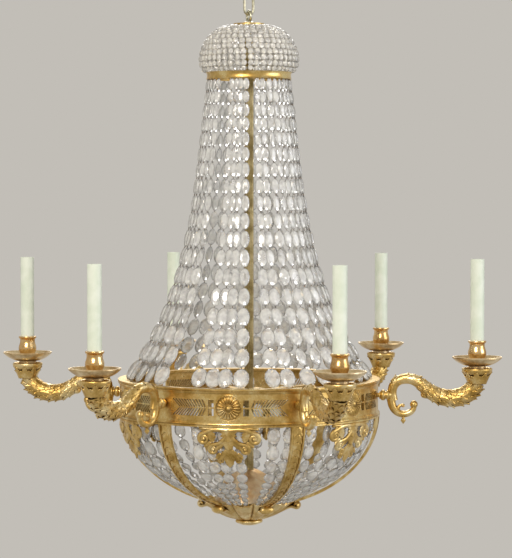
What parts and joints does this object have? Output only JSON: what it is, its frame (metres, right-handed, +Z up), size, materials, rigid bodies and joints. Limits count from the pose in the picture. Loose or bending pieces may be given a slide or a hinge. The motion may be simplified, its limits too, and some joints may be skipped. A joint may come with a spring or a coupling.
{
  "type": "crystal chandelier",
  "caption": "Empire style hanging light: bead crown, tent and basket of crystal strands on a gilt bronze band, with scrolled arms that carry candle lights",
  "frame": {"origin": "inside top of the hanging link, where a ceiling hook carries the chandelier", "axes": "+Z up, the first arm along -Y, the others every 60 degrees"},
  "size_m": [0.7788, 0.886, 0.9493],
  "materials": {
    "pale_steel": "dull zinc-plated wire",
    "rod_steel": "threaded rod",
    "stem_brass": "reeded tube, aged khaki gilding",
    "gilt_bronze": "cast and chased bronze, worn matt gilding",
    "crown_brass": "rolled brass",
    "pan_bronze": "spun bronze, pale gilding",
    "nozzle_brass": "turned and polished brass",
    "holder_resin": "moulded lamp socket",
    "sleeve_card": "pale ivory candle sleeve",
    "bead_glass": "cloudy moulded glass beads",
    "cut_crystal": "faceted clear crystals on wire links"
  },
  "bodies": {
    "link": {"hanging_link": "pale_steel"},
    "chandelier": {"top_eye": "pale_steel", "tie_rod": "rod_steel", "stem": "stem_brass", "crown_top_disc": "gilt_bronze", "crown_ring": "crown_brass", "band": "gilt_bronze", "spider": "gilt_bronze", "bottom_dish": "gilt_bronze", "bottom_finial": "gilt_bronze", "inner_dish": "crown_brass", "crown_beads": "bead_glass", "rosettes": "gilt_bronze", "arm_studs": "gilt_bronze", "basket_straps": "gilt_bronze", "lattice_plaques": "gilt_bronze", "arm_1": "gilt_bronze", "drip_pan_1": "pan_bronze", "nozzle_1": "nozzle_brass", "lampholder_1": "holder_resin", "tent_strands_1": "cut_crystal", "basket_strands_1": "cut_crystal", "arm_2": "gilt_bronze", "drip_pan_2": "pan_bronze", "nozzle_2": "nozzle_brass", "lampholder_2": "holder_resin", "tent_strands_2": "cut_crystal", "basket_strands_2": "cut_crystal", "arm_3": "gilt_bronze", "drip_pan_3": "pan_bronze", "nozzle_3": "nozzle_brass", "lampholder_3": "holder_resin", "tent_strands_3": "cut_crystal", "basket_strands_3": "cut_crystal", "arm_4": "gilt_bronze", "drip_pan_4": "pan_bronze", "nozzle_4": "nozzle_brass", "lampholder_4": "holder_resin", "tent_strands_4": "cut_crystal", "basket_strands_4": "cut_crystal", "arm_5": "gilt_bronze", "drip_pan_5": "pan_bronze", "nozzle_5": "nozzle_brass", "lampholder_5": "holder_resin", "tent_strands_5": "cut_crystal", "basket_strands_5": "cut_crystal", "arm_6": "gilt_bronze", "drip_pan_6": "pan_bronze", "nozzle_6": "nozzle_brass", "lampholder_6": "holder_resin", "tent_strands_6": "cut_crystal", "basket_strands_6": "cut_crystal"},
    "sleeve_1": {"candle_sleeve_1": "sleeve_card"},
    "sleeve_2": {"candle_sleeve_2": "sleeve_card"},
    "sleeve_3": {"candle_sleeve_3": "sleeve_card"},
    "sleeve_4": {"candle_sleeve_4": "sleeve_card"},
    "sleeve_5": {"candle_sleeve_5": "sleeve_card"},
    "sleeve_6": {"candle_sleeve_6": "sleeve_card"}
  },
  "joints": [
    {"name": "swing", "type": "hinge", "parent": "link", "child": "chandelier", "pos_m": [0, 0, -0.0475], "axis": [1, 0, 0], "range_deg": [-10, 10]},
    {"name": "sleeve_lift_1", "type": "slide", "parent": "chandelier", "child": "sleeve_1", "axis": [0, 0, 1], "range_m": [0, 0.16]},
    {"name": "sleeve_lift_2", "type": "slide", "parent": "chandelier", "child": "sleeve_2", "axis": [0, 0, 1], "range_m": [0, 0.16]},
    {"name": "sleeve_lift_3", "type": "slide", "parent": "chandelier", "child": "sleeve_3", "axis": [0, 0, 1], "range_m": [0, 0.16]},
    {"name": "sleeve_lift_4", "type": "slide", "parent": "chandelier", "child": "sleeve_4", "axis": [0, 0, 1], "range_m": [0, 0.16]},
    {"name": "sleeve_lift_5", "type": "slide", "parent": "chandelier", "child": "sleeve_5", "axis": [0, 0, 1], "range_m": [0, 0.16]},
    {"name": "sleeve_lift_6", "type": "slide", "parent": "chandelier", "child": "sleeve_6", "axis": [0, 0, 1], "range_m": [0, 0.16]}
  ]
}
